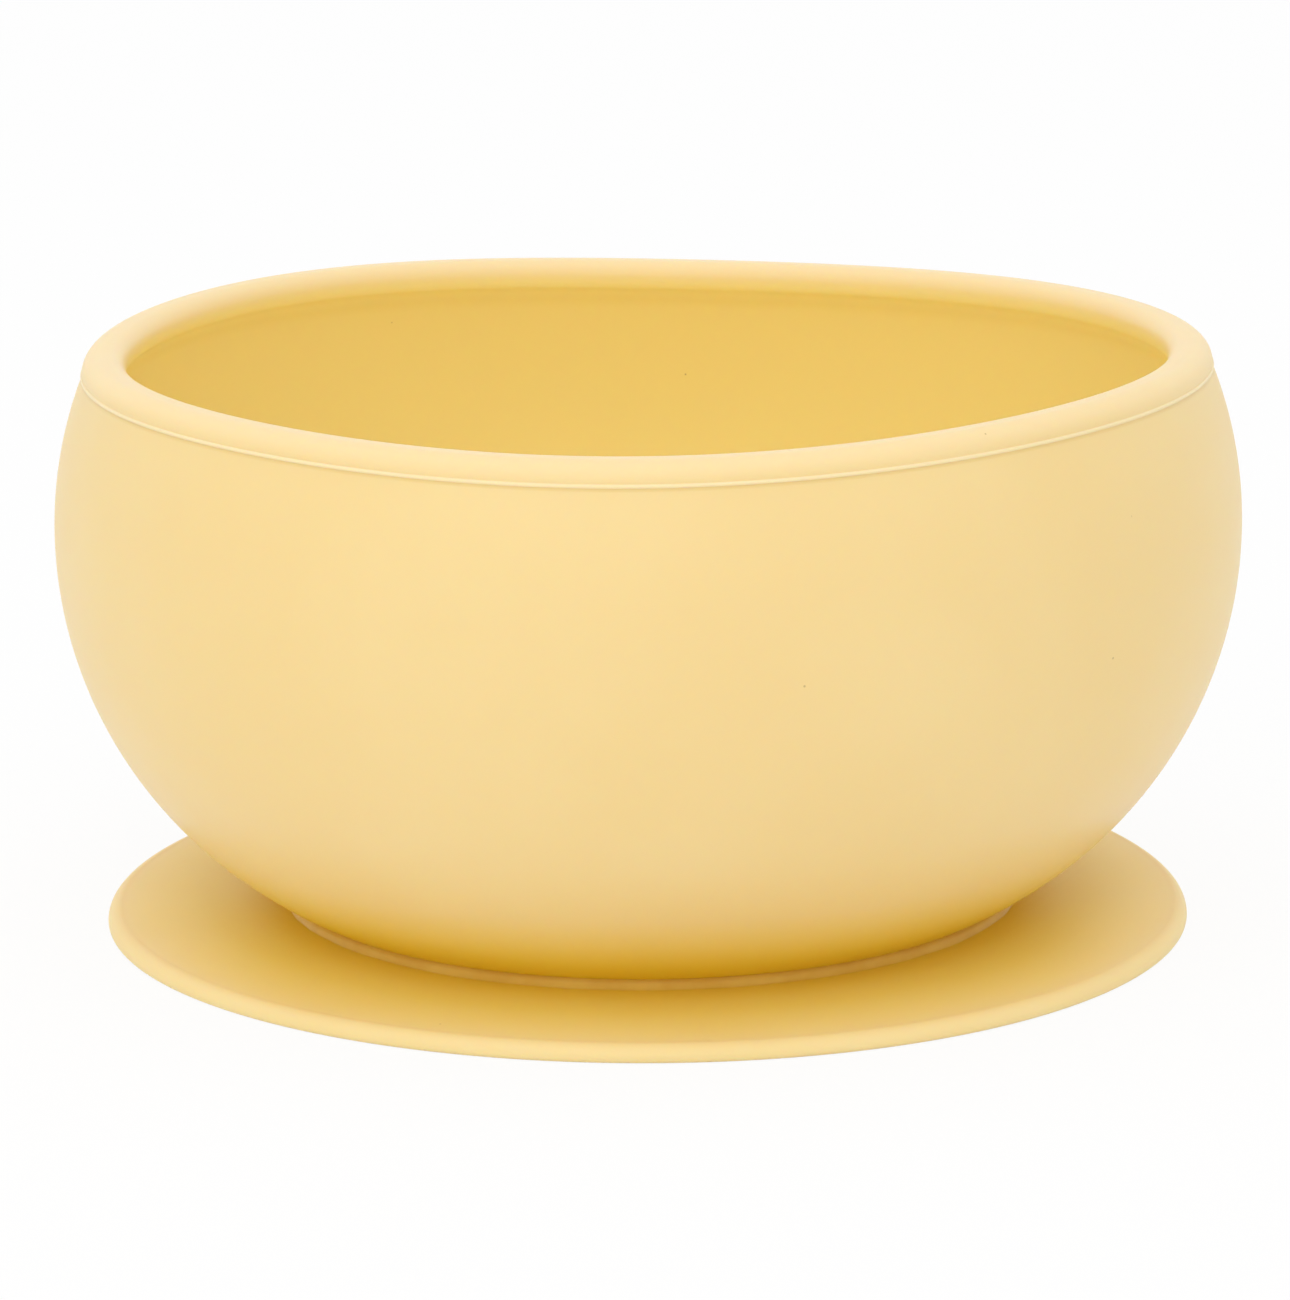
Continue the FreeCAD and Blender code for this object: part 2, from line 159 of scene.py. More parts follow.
class ShaderTree:
    """The node tree of one material, or of the world."""

    MIX_COLOURS = {"data_type": "RGBA"}
    MIX_FACTOR, MIX_FIRST, MIX_SECOND, MIX_RESULT = 0, 6, 7, 2

    def __init__(self, owner: Owner) -> None:
        """Start with an empty tree.

        Args:
            owner: the material or world that the tree belongs to.
        """
        owner.use_nodes = True
        self.owner = owner
        self.nodes = owner.node_tree.nodes
        self.links = owner.node_tree.links
        self.nodes.clear()

    def node(
        self, kind: str, settings: dict[str, Any], inputs: dict[int | str, Any], output: int | str = 0
    ) -> Value:
        """Add a node: its settings first, then its sockets.

        Args:
            kind: the node's type.
            settings: its properties by name. "stops" gives a colour ramp's stops, as pairs of place and
                colour.
            inputs: a number, colour or Value for each input socket, by index or name.
            output: the output socket wanted.

        Returns:
            That output.
        """
        made = self.nodes.new(kind)
        for name, setting in settings.items():
            if name == "stops":
                self._set_stops(made.color_ramp, setting)
            else:
                setattr(made, name, setting)
        for key, item in inputs.items():
            if isinstance(item, Value):
                self.links.new(item.socket, made.inputs[key])
            else:
                made.inputs[key].default_value = item
        return Value(self, made.outputs[output])

    @staticmethod
    def _set_stops(ramp: bpy.types.ColorRamp, stops: Stops) -> None:
        """Give a ramp its stops.

        Args:
            ramp: a new ramp, which has two stops.
            stops: places from 0 to 1, in order, each with its colour.
        """
        while len(ramp.elements) < len(stops):
            ramp.elements.new(1.0)
        for element, (place, shade) in zip(ramp.elements, stops):
            element.position = place
            element.color = shade

    def places(self) -> Value:
        """Places on the piece in the model's frame, in metres."""
        return self.node("ShaderNodeTexCoord", {}, {}, "Object")

    def height(self, places: Value) -> Value:
        """Height above the table."""
        return self.node("ShaderNodeSeparateXYZ", {}, {"Vector": places}, "Z")

    def section(self) -> Value:
        """Length along the piece's half-section from its zero mark, in metres."""
        return self.node("ShaderNodeAttribute", {"attribute_name": SECTION}, {}, "Fac")

    def ramp(self, value: Value, stops: Stops) -> Value:
        """Colour that follows a value between stops."""
        return self.node("ShaderNodeValToRGB", {"stops": stops}, {"Fac": value}, "Color")

    def seen(self) -> Value:
        """Tell what is looked at from what only lights.

        Returns:
            1 for what is looked at, straight or in a reflection, and 0 for what only lights.
        """
        path = "ShaderNodeLightPath"
        through = self.node(path, {}, {}, "Is Transmission Ray")
        mirrored = self.node(path, {}, {}, "Is Glossy Ray").either(through)
        return self.node(path, {}, {}, "Is Camera Ray").either(mirrored)

    def cloud(self, places: Value, patch: float, detail: float = 2.0, roughness: float = 0.5) -> Value:
        """Smooth random values round one half.

        Args:
            places: where on the piece.
            patch: rough size of one patch, in metres.
            detail: how many finer layers.
            roughness: how strong the finer layers are.

        Returns:
            Values from about 0.2 to 0.8.
        """
        sockets = {"Vector": places, "Scale": 1.0 / patch, "Detail": detail, "Roughness": roughness}
        return self.node("ShaderNodeTexNoise", {}, sockets, "Fac")

    def spread(self, value: Value, low: float, high: float) -> Value:
        """Smooth step of a value from 0 at low to 1 at high."""
        settings = {"interpolation_type": "SMOOTHSTEP"}
        return self.node("ShaderNodeMapRange", settings, {"Value": value, "From Min": low, "From Max": high})

    def band(self, value: Value, low: float, high: float, soft: float) -> Value:
        """1 between low and high, and 0 further out than a soft edge.

        Args:
            value: what is measured.
            low: where the band starts.
            high: where it ends.
            soft: width of each edge, outside the band.

        Returns:
            The mask.
        """
        return self.spread(value, low - soft, low) * (1.0 - self.spread(value, high, high + soft))

    def mix(self, share: Value, first: Any, second: Any) -> Value:
        """Blend of two colours by a share from 0 to 1."""
        sockets = {self.MIX_FACTOR: share, self.MIX_FIRST: first, self.MIX_SECOND: second}
        return self.node("ShaderNodeMix", self.MIX_COLOURS, sockets, self.MIX_RESULT)

    def multiply(self, first: Value, second: Value) -> Value:
        """Multiply two colours.

        Args:
            first: a colour.
            second: another colour.

        Returns:
            The first times the second.
        """
        settings = {**self.MIX_COLOURS, "blend_type": "MULTIPLY"}
        sockets = {self.MIX_FACTOR: 1.0, self.MIX_FIRST: first, self.MIX_SECOND: second}
        return self.node("ShaderNodeMix", settings, sockets, self.MIX_RESULT)

    def bump(self, height: Value, rise: float, below: Value | None = None) -> Value:
        """Fine relief.

        Args:
            height: relief from 0 to 1.
            rise: what 1 stands for, in metres.
            below: the coarser relief that this one lies on.

        Returns:
            The surface's new normal.
        """
        sockets: dict[int | str, Any] = {"Height": height, "Distance": rise, "Strength": 1.0}
        if below is not None:
            sockets["Normal"] = below
        return self.node("ShaderNodeBump", {}, sockets)

    def finish(self, shader: Value, output: str = "ShaderNodeOutputMaterial") -> Owner:
        """Send a shader to the surface.

        Args:
            shader: the shader.
            output: the type of the output node.

        Returns:
            The material or world that the tree belongs to.
        """
        end = self.nodes.new(output)
        self.links.new(shader.socket, end.inputs["Surface"])
        return self.owner


# -------------------------------------------------------------------- finishes


@dataclass(frozen=True)
class Dust:
    """Lint and specks that cling to silicone."""

    tint: Colour = colour(0.52, 0.36, 0.16)
    spacing: float = 8.0 * MM
    speck: float = 0.16 * MM
    core: float = 0.4
    share: float = 0.55
    share_edge: float = 0.01
    strength: float = 0.75

    def mask(self, tree: ShaderTree, places: Value) -> Value:
        """Where the specks are, and how much of the surface they cover there.

        Args:
            tree: the material's tree.
            places: where on the piece.

        Returns:
            The specks' strength on a speck and 0 off it.
        """
        sockets = {"Vector": places, "Scale": 1.0 / self.spacing, "Randomness": 1.0}
        distance = tree.node("ShaderNodeTexVoronoi", {"feature": "F1"}, sockets, "Distance")
        chance = tree.node("ShaderNodeTexVoronoi", {"feature": "F1"}, sockets, "Color")
        lot = tree.node("ShaderNodeSeparateColor", {}, {"Color": chance}, "Red")
        size = self.speck / self.spacing
        spot = 1.0 - tree.spread(distance, size * self.core, size)
        bare = 1.0 - self.share
        return spot * tree.spread(lot, bare, bare + self.share_edge) * self.strength


@dataclass(frozen=True)
class Silicone:
    """Satin-matt moulded silicone."""

    name: str
    pale: Colour
    deep: Colour
    roughness: float = 0.38
    roughness_spread: float = 0.14
    mottle: float = 26.0 * MM
    mottle_detail: float = 3.0
    mottle_edges: tuple[float, float] = (0.3, 0.7)
    smudge_share: float = 0.4
    smudge_detail: float = 4.0
    unevenness: float = 9.0 * MM
    unevenness_detail: float = 1.0
    unevenness_rise: float = 0.035 * MM
    grain: float = 0.6 * MM
    grain_rise: float = 0.0016 * MM
    grain_gloss: float = 0.05
    ior: float = 1.41
    depth: float = 2.0 * MM
    translucency: float = 0.25
    depth_tint: tuple[float, float, float] = (1.0, 0.5, 0.1)
    dust: Dust = field(default_factory=Dust)

    def paint_light_and_shade(self, tree: ShaderTree, places: Value, body: Value) -> Value:
        """Colour of the body with light and shade painted in. Plain silicone has none painted.

        Args:
            tree: the material's tree.
            places: where on the piece.
            body: the silicone's own colour.

        Returns:
            The colour with painted light and shade.
        """
        return body

    def polish(self, tree: ShaderTree, satin: Value) -> Value:
        """Roughness of the skin where it isn't the same all over. Plain silicone's is.

        Args:
            tree: the material's tree.
            satin: the silicone's own roughness.

        Returns:
            The polished roughness.
        """
        return satin

    def material(self) -> bpy.types.Material:
        """Build the material.

        Returns:
            The material.
        """
        tree = ShaderTree(bpy.data.materials.new(self.name))
        places = tree.places()
        mottle = tree.spread(tree.cloud(places, self.mottle, self.mottle_detail), *self.mottle_edges)
        body = self.paint_light_and_shade(tree, places, tree.mix(mottle, self.pale, self.deep))
        surface = tree.mix(self.dust.mask(tree, places), body, self.dust.tint)
        smudge = tree.cloud(places, self.mottle * self.smudge_share, self.smudge_detail) - NOISE_MIDDLE
        grain = tree.cloud(places, self.grain)
        satin = self.roughness + smudge * self.roughness_spread + (grain - NOISE_MIDDLE) * self.grain_gloss
        wave = tree.bump(tree.cloud(places, self.unevenness, self.unevenness_detail), self.unevenness_rise)
        sockets = {
            "Base Color": surface,
            "Roughness": self.polish(tree, satin),
            "IOR": self.ior,
            "Subsurface Weight": self.translucency,
            "Subsurface Radius": self.depth_tint,
            "Subsurface Scale": self.depth,
            "Normal": tree.bump(grain, self.grain_rise, wave),
        }
        return tree.finish(tree.node("ShaderNodeBsdfPrincipled", {}, sockets))


@dataclass(frozen=True)
class BowlSilicone(Silicone):
    """The bowl's silicone: painted shade deepening the belly down to the bond, painted light inside and under
    the rim's inner edge, and painted highlights on the rim and along the parting line with a painted shadow
    under the line.

    The start and the reach are heights above the table. Other lengths run along the half-section from the top
    of the rim: outwards below zero, and inwards above.
    """

    # Painted light: the inside wall takes a paler, less deep yellow than the outside.
    inside_painted_light: Colour = colour(0.95, 0.775, 0.30)
    # Painted light just under the rim's inner edge, lifting the shade there.
    under_rim_painted_light: Colour = colour(1.0, 0.84, 0.39)
    # Painted highlight on the rim: a paler, whiter yellow over the roll.
    rim_painted_highlight: Colour = colour(0.915, 0.713, 0.38)
    # Painted highlight along the parting line: a paler strip on the ridge's lit top.
    parting_painted_highlight: Colour = colour(0.93, 0.76, 0.44)
    # Painted shadow just under the parting line, and how strong it is.
    parting_painted_shadow: Colour = colour(0.87, 0.64, 0.20)
    parting_shadow_strength: float = 0.3
    # Where the parting line's painted highlight and the painted shadow under it lie.
    line: tuple[float, float] = (-3.96 * MM, -3.62 * MM)
    shade: tuple[float, float] = (-4.32 * MM, -4.10 * MM)
    edge: float = 0.10 * MM
    # Where the rim's painted highlight starts and ends.
    rim_start: tuple[float, float] = (-4.2 * MM, -1.6 * MM)
    rim_end: tuple[float, float] = (1.4 * MM, 3.9 * MM)
    # Where the painted light on the inside wall and just under the rim's inner edge lies.
    inside: tuple[float, float] = (1.0 * MM, 4.5 * MM)
    hollow: tuple[float, float] = (4.3 * MM, 5.3 * MM)
    under_rim_light_edge: float = 1.5 * MM
    # The stops paint shade on the outside: deepest at the bond, fading up the belly over the reach.
    start: float = 2.9 * MM
    reach: float = 12.0 * MM
    stops: Stops = (
        (0.0, colour(1.0, 0.95, 0.03)),
        (0.08, colour(1.0, 0.97, 0.09)),
        (0.22, colour(1.0, 0.99, 0.285)),
        (0.46, colour(1.0, 1.0, 0.645)),
        (0.75, colour(1.0, 1.0, 0.97)),
        (1.0, colour(1.0, 1.0, 1.0)),
    )

    def paint_light_and_shade(self, tree: ShaderTree, places: Value, body: Value) -> Value:
        """Paint shade on the outside, deepest at the bond, paint light on the inside and under the rim's
        inner edge, and paint highlights on the rim and the parting line with a shadow under the line.

        Args:
            tree: the material's tree.
            places: where on the piece.
            body: the silicone's own colour.

        Returns:
            The colour with painted light and shade.
        """
        section = tree.section()
        # Painted shade on the outside, deepest at the bond.
        climb = (tree.height(places) - self.start) * (1.0 / self.reach)
        outside = tree.multiply(body, tree.ramp(climb, self.stops))
        # Painted light on the inside wall.
        inside = tree.mix(tree.spread(section, *self.inside), outside, self.inside_painted_light)
        # Painted light just under the rim's inner edge.
        lit_under_rim = tree.mix(tree.band(section, *self.hollow, self.under_rim_light_edge), inside, self.under_rim_painted_light)
        # Painted highlight on the rim.
        rim = tree.spread(section, *self.rim_start) * (1.0 - tree.spread(section, *self.rim_end))
        rim_highlighted = tree.mix(rim, lit_under_rim, self.rim_painted_highlight)
        # Painted shadow just under the parting line.
        shade = tree.band(section, *self.shade, self.edge) * self.parting_shadow_strength
        shadowed_under_line = tree.mix(shade, rim_highlighted, self.parting_painted_shadow)
        # Painted highlight along the parting line.
        return tree.mix(tree.band(section, *self.line, self.edge), shadowed_under_line, self.parting_painted_highlight)


@dataclass(frozen=True)
class SectionShadedSilicone(Silicone):
    """Silicone with shade painted along the half-section.

    Lengths are from the piece's own zero mark. The stops run from the start over the reach.
    """

    start: float = 0.0
    reach: float = 1.0 * MM
    stops: Stops = ((0.0, colour(1.0, 1.0, 1.0)), (1.0, colour(1.0, 1.0, 1.0)))

    def paint_light_and_shade(self, tree: ShaderTree, places: Value, body: Value) -> Value:
        """Paint shade along the section.

        Args:
            tree: the material's tree.
            places: where on the piece.
            body: the silicone's own colour.

        Returns:
            The deepened colour.
        """
        along = (tree.section() - self.start) * (1.0 / self.reach)
        return tree.multiply(body, tree.ramp(along, self.stops))


@dataclass(frozen=True)
class DiscSilicone(SectionShadedSilicone):
    """The disc's silicone: painted shade on top, deepening from the edge of the lip in to the bond under the
    belly, and polished below.
    """

    polished: tuple[float, float] = (2.6 * MM, 3.0 * MM)
    gloss: float = 0.10
    # The stops paint shade on top of the disc: deepest at the bond under the belly, fading out to the edge of
    # the lip.
    start: float = -18.0 * MM
    reach: float = 18.0 * MM
    stops: Stops = (
        (0.0, colour(0.99, 0.87, 0.08)),
        (0.06, colour(1.0, 0.89, 0.13)),
        (0.18, colour(1.0, 0.915, 0.25)),
        (0.35, colour(1.0, 0.945, 0.42)),
        (0.5, colour(1.0, 0.955, 0.48)),
        (0.62, colour(1.0, 0.97, 0.58)),
        (0.88, colour(1.0, 0.985, 0.77)),
        (0.96, colour(0.99, 0.985, 0.86)),
        (1.0, colour(0.99, 0.98, 0.94)),
    )

    def polish(self, tree: ShaderTree, satin: Value) -> Value:
        """Smooth the sealing ring and the cavity, which grip the table.

        Args:
            tree: the material's tree.
            satin: the silicone's own roughness.

        Returns:
            The polished roughness.
        """
        return satin - tree.spread(tree.section(), *self.polished) * self.gloss


@dataclass(frozen=True)
class BeadSilicone(SectionShadedSilicone):
    """The adhesive, with painted shade that is lightest at the bead's toe and deepest up in the crease under
    the belly.
    """

    # The stops paint shade on the bead: none at its toe, deepening up into the crease under the belly.
    reach: float = 1.2 * MM
    stops: Stops = (
        (0.0, colour(1.0, 1.0, 1.0)),
        (0.5, colour(0.94, 0.93, 0.80)),
        (0.82, colour(0.84, 0.75, 0.50)),
        (1.0, colour(0.75, 0.62, 0.30)),
    )


@dataclass(frozen=True)
class Floor:
    """Pale studio floor that reads white and keeps a soft shadow."""

    name: str = "studio_floor"
    tint: Colour = colour(0.94, 0.94, 0.94)
    fleck: Colour = colour(0.92, 0.92, 0.92)
    patch: float = 0.2
    white: Colour = colour(1.0, 1.0, 1.0)
    lift: float = 0.90

    def material(self) -> bpy.types.Material:
        """Build the material.

        Returns:
            The material.
        """
        tree = ShaderTree(bpy.data.materials.new(self.name))
        places = tree.places()
        paint = tree.mix(tree.cloud(places, self.patch), self.tint, self.fleck)
        matt = tree.node("ShaderNodeBsdfDiffuse", {}, {"Color": paint})
        glow = tree.node("ShaderNodeEmission", {}, {"Color": self.white, "Strength": 1.0})
        seen = tree.seen()
        return tree.finish(tree.node("ShaderNodeMixShader", {}, {0: seen * self.lift, 1: matt, 2: glow}))


# ------------------------------------------------------------------ turned mesh


@dataclass(frozen=True)
class Wave:
    """One lobed pattern round the axis."""

    lobes: int
    cosine: float
    sine: float

    def at(self, bearing: float) -> float:
        """Height of the wave at a bearing about the axis."""
        return self.cosine * math.cos(self.lobes * bearing) + self.sine * math.sin(self.lobes * bearing)


@dataclass(frozen=True)
class Sag:
    """How a soft moulding strays from a true turned shape: up and down, and in and out."""

    lift: tuple[Wave, ...]
    spread: tuple[Wave, ...]

    def move(self, radius: float, height: float, bearing: float, share: float) -> Point:
        """Stray of one point.

        Args:
            radius: the true radius.
            height: the true height.
            bearing: direction about the axis.
            share: how much of the stray the point takes, from 0 to 1.

        Returns:
            The new radius and height.
        """
        spread = sum(wave.at(bearing) for wave in self.spread)
        lift = sum(wave.at(bearing) for wave in self.lift)
        return radius + spread * share, height + lift * share


class Outline:
    """Half-section of a turned piece, drawn as points of radius and height."""

    def __init__(self, start: Point) -> None:
        """Start the outline.

        Args:
            start: the first point.
        """
        self.points: list[Point] = [start]
        self.zero_index = 0

    def line(self, end: Point, step: float) -> "Outline":
        """Draw a straight edge.

        Args:
            end: where it ends.
            step: longest distance between points.

        Returns:
            The outline.
        """
        start = self.points[-1]
        run, rise = end[0] - start[0], end[1] - start[1]
        count = max(1, math.ceil(math.dist(start, end) / step))
        for i in range(1, count + 1):
            share = i / count
            self.points.append((start[0] + run * share, start[1] + rise * share))
        return self

    def arc(self, centre: Point, end: Point, step: float) -> "Outline":
        """Draw a round edge the short way about a centre.

        Args:
            centre: the arc's centre.
            end: where it ends.
            step: longest distance between points.

        Returns:
            The outline.
        """
        start = self.points[-1]
        first = math.atan2(start[1] - centre[1], start[0] - centre[0])
        swing = math.atan2(end[1] - centre[1], end[0] - centre[0]) - first
        swing = (swing + math.pi) % TURN - math.pi
        radius = math.dist(start, centre)
        count = max(2, math.ceil(abs(swing) * radius / step))
        for i in range(1, count):
            angle = first + swing * i / count
            self.points.append((centre[0] + radius * math.cos(angle), centre[1] + radius * math.sin(angle)))
        self.points.append(end)
        return self

    def zero(self) -> "Outline":
        """Measure lengths along the section from here."""
        self.zero_index = len(self.points) - 1
        return self

    def lengths(self) -> list[float]:
        """Length along the section of each point, from the zero mark.

        Returns:
            One length for each point, below zero before the mark.
        """
        run = [0.0]
        for start, end in zip(self.points, self.points[1:]):
            run.append(run[-1] + math.dist(start, end))
        return [length - run[self.zero_index] for length in run]


def tangent_centre(first: Point, first_gap: float, second: Point, second_gap: float) -> Point:
    """Centre of a circle at set distances from two centres, on the left of the line between them.

    Args:
        first: the first centre.
        first_gap: distance from it.
        second: the second centre.
        second_gap: distance from it.

    Returns:
        The new centre.
    """
    span = math.dist(first, second)
    along = ((second[0] - first[0]) / span, (second[1] - first[1]) / span)
    run = (first_gap**2 - second_gap**2 + span**2) / (2.0 * span)
    rise = math.sqrt(first_gap**2 - run**2)
    return first[0] + along[0] * run - along[1] * rise, first[1] + along[1] * run + along[0] * rise


def beyond(start: Point, towards: Point, distance: float) -> Point:
    """Point at a distance from start on the ray through another point."""
    share = distance / math.dist(start, towards)
    return start[0] + (towards[0] - start[0]) * share, start[1] + (towards[1] - start[1]) * share


Warp = Callable[[float, float, float], Point]


def turn_piece(name: str, outline: Outline, segments: int, warp: Warp) -> bpy.types.Object:
    """Turn a half-section about the upright axis into a closed mesh.

    Args:
        name: the piece's name.
        outline: a half-section that starts and ends on the axis.
        segments: how many steps round.
        warp: gives a point's stray radius and height from its radius, height and bearing.

    Returns:
        The new object.
    """
    mesh = bmesh.new()
    section = mesh.verts.layers.float.new(SECTION)
    first, *rings, last = outline.points
    lengths = outline.lengths()
    start = mesh.verts.new((0.0, 0.0, first[1]))
    end = mesh.verts.new((0.0, 0.0, last[1]))
    start[section], end[section] = lengths[0], lengths[-1]
    rows = []
    for (radius, height), length in zip(rings, lengths[1:]):
        row = []
        for i in range(segments):
            bearing = TURN * i / segments
            out, up = warp(radius, height, bearing)
            vertex = mesh.verts.new((out * math.cos(bearing), out * math.sin(bearing), up))
            vertex[section] = length
            row.append(vertex)
        rows.append(row)
    for i in range(segments):
        j = (i + 1) % segments
        mesh.faces.new((start, rows[0][j], rows[0][i]))
        mesh.faces.new((end, rows[-1][i], rows[-1][j]))
        for lower, upper in zip(rows, rows[1:]):
            mesh.faces.new((lower[i], lower[j], upper[j], upper[i]))
    bmesh.ops.recalc_face_normals(mesh, faces=mesh.faces)
    for face in mesh.faces:
        face.smooth = True
    data = bpy.data.meshes.new(name)
    mesh.to_mesh(data)
    mesh.free()
    piece = bpy.data.objects.new(name, data)
    bpy.context.scene.collection.objects.link(piece)
    return piece


# ---------------------------------------------------------------- sub-assemblies


@dataclass
class Bowl:
    """The bowl: round belly, parting line, rolled rim, inside wall and floor."""

    finish: Silicone
    shoulder_arc: float = 40.7 * MM
    rim_depth: float = 2.45 * MM
    witness_width: float = 0.44 * MM
    witness_proud: float = 0.15 * MM
    rim_outer_arc: float = 1.95 * MM
    rim_land: float = 0.75 * MM
    rim_inner_arc: float = 1.75 * MM
    rim_blend_arc: float = 5.0 * MM
    wall: float = 3.0 * MM
    floor_thickness: float = 3.2 * MM
    floor_arc: float = 22.0 * MM
    foot_step: float = 4.0 * MM
    foot_edge_step: float = 0.3 * MM
    wall_step: float = 0.9 * MM
    shoulder_step: float = 0.45 * MM
    witness_step: float = 0.06 * MM
    rim_step: float = 0.12 * MM
    land_step: float = 0.24 * MM
    blend_step: float = 0.315 * MM
    floor_step: float = 2.0 * MM
    segments: int = 360
    sag: Sag = Sag(
        lift=(
            Wave(1, 0.03 * MM, -0.11 * MM),
            Wave(2, 0.43 * MM, -0.35 * MM),
            Wave(3, 0.21 * MM, -0.05 * MM),
            Wave(4, -0.19 * MM, 0.04 * MM),
        ),
        spread=(
            Wave(2, 0.0, -0.06 * MM),
            Wave(3, -0.02 * MM, 0.22 * MM),
            Wave(4, -0.09 * MM, -0.12 * MM),
        ),
    )

    def __post_init__(self) -> None:
        """Take the bowl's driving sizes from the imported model."""
        low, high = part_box("bowl")
        bead_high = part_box("bond_bead")[1]
        self.belly_radius: float = high.x
        self.belly_height: float = BELLY_HEIGHT
        self.rim_height: float = high.z
        self.foot_height: float = low.z
        self.crease_radius: float = CREASE_RADIUS
        self.crease_height: float = bead_high.z
        self.witness_height: float = self.rim_height - self.rim_depth

    def outline(self) -> Outline:
        """Half-section from the axis under the foot, up the outside, over the rim and down to the floor.

        Returns:
            The outline.
        """
        run, rise = self.belly_radius - self.crease_radius, self.belly_height - self.crease_height
        flank_arc = (run**2 + rise**2) / (2.0 * run)
        flank = (self.belly_radius - flank_arc, self.belly_height)
        shoulder = (self.belly_radius - self.shoulder_arc, self.belly_height)
        witness_rise = self.witness_height - self.belly_height
        witness_low = (shoulder[0] + math.sqrt(self.shoulder_arc**2 - witness_rise**2), self.witness_height)
        witness_high = (witness_low[0], witness_low[1] + self.witness_width)
        outer = (witness_high[0] - self.rim_outer_arc, self.rim_height - self.rim_outer_arc)
        land_outer = (outer[0], self.rim_height)
        land_inner = (outer[0] - self.rim_land, self.rim_height)
        inner = (land_inner[0], self.rim_height - self.rim_inner_arc)
        inside_arc = self.shoulder_arc - self.wall
        blend = tangent_centre(
            inner, self.rim_inner_arc + self.rim_blend_arc, shoulder, inside_arc - self.rim_blend_arc
        )
        inside_flank_arc = flank_arc - self.wall
        floor_height = self.foot_height + self.floor_thickness
        floor_rise = floor_height + self.floor_arc - flank[1]
        floor_centre = (
            flank[0] + math.sqrt((inside_flank_arc - self.floor_arc) ** 2 - floor_rise**2),
            floor_height + self.floor_arc,
        )
        foot_edge = (self.crease_radius - FOOT_INSET, self.foot_height)
        return (
            Outline((0.0, self.foot_height))
            .line(foot_edge, self.foot_step)
            .line((self.crease_radius, self.crease_height), self.foot_edge_step)
            .arc(flank, (self.belly_radius, self.belly_height), self.wall_step)
            .arc(shoulder, witness_low, self.shoulder_step)
            .arc(self.witness_centre(witness_low, witness_high), witness_high, self.witness_step)
            .arc(outer, land_outer, self.rim_step)
            .line(((land_outer[0] + land_inner[0]) / 2.0, self.rim_height), self.land_step)
            .zero()
            .line(land_inner, self.land_step)
            .arc(inner, beyond(inner, blend, self.rim_inner_arc), self.rim_step)
            .arc(blend, beyond(shoulder, blend, inside_arc), self.blend_step)
            .arc(shoulder, (self.belly_radius - self.wall, self.belly_height), self.wall_step)
            .arc(flank, beyond(flank, floor_centre, inside_flank_arc), self.wall_step)
            .arc(floor_centre, (floor_centre[0], floor_height), self.wall_step)
            .line((0.0, floor_height), self.floor_step)
        )

    def witness_centre(self, low: Point, high: Point) -> Point:
        """Centre of the arc that stands proud along the parting line.

        Args:
            low: the line's lower end.
            high: its upper end.

        Returns:
            The centre.
        """
        half = (high[1] - low[1]) / 2.0
        radius = (half**2 + self.witness_proud**2) / (2.0 * self.witness_proud)
        return low[0] + self.witness_proud - radius, low[1] + half

    def stray(self, radius: float, height: float, bearing: float) -> Point:
        """Where a point of the true shape really lies: full sag at the rim, none at the foot.

        Args:
            radius: the true radius.
            height: the true height.
            bearing: direction about the axis.

        Returns:
            Its place.
        """
        climb = (height - self.crease_height) / (self.witness_height - self.crease_height)
        share = min(max(climb, 0.0), 1.0) ** SAG_POWER
        return self.sag.move(radius, height, bearing, share)

    def build(self) -> bpy.types.Object:
        """Make the bowl and put it on its body.

        Returns:
            The bowl.
        """
        piece = turn_piece("bowl_moulding", self.outline(), self.segments, self.stray)
        piece.data.materials.append(self.finish.material())
        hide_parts("bowl")
        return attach(piece, Body.BOWL.value)


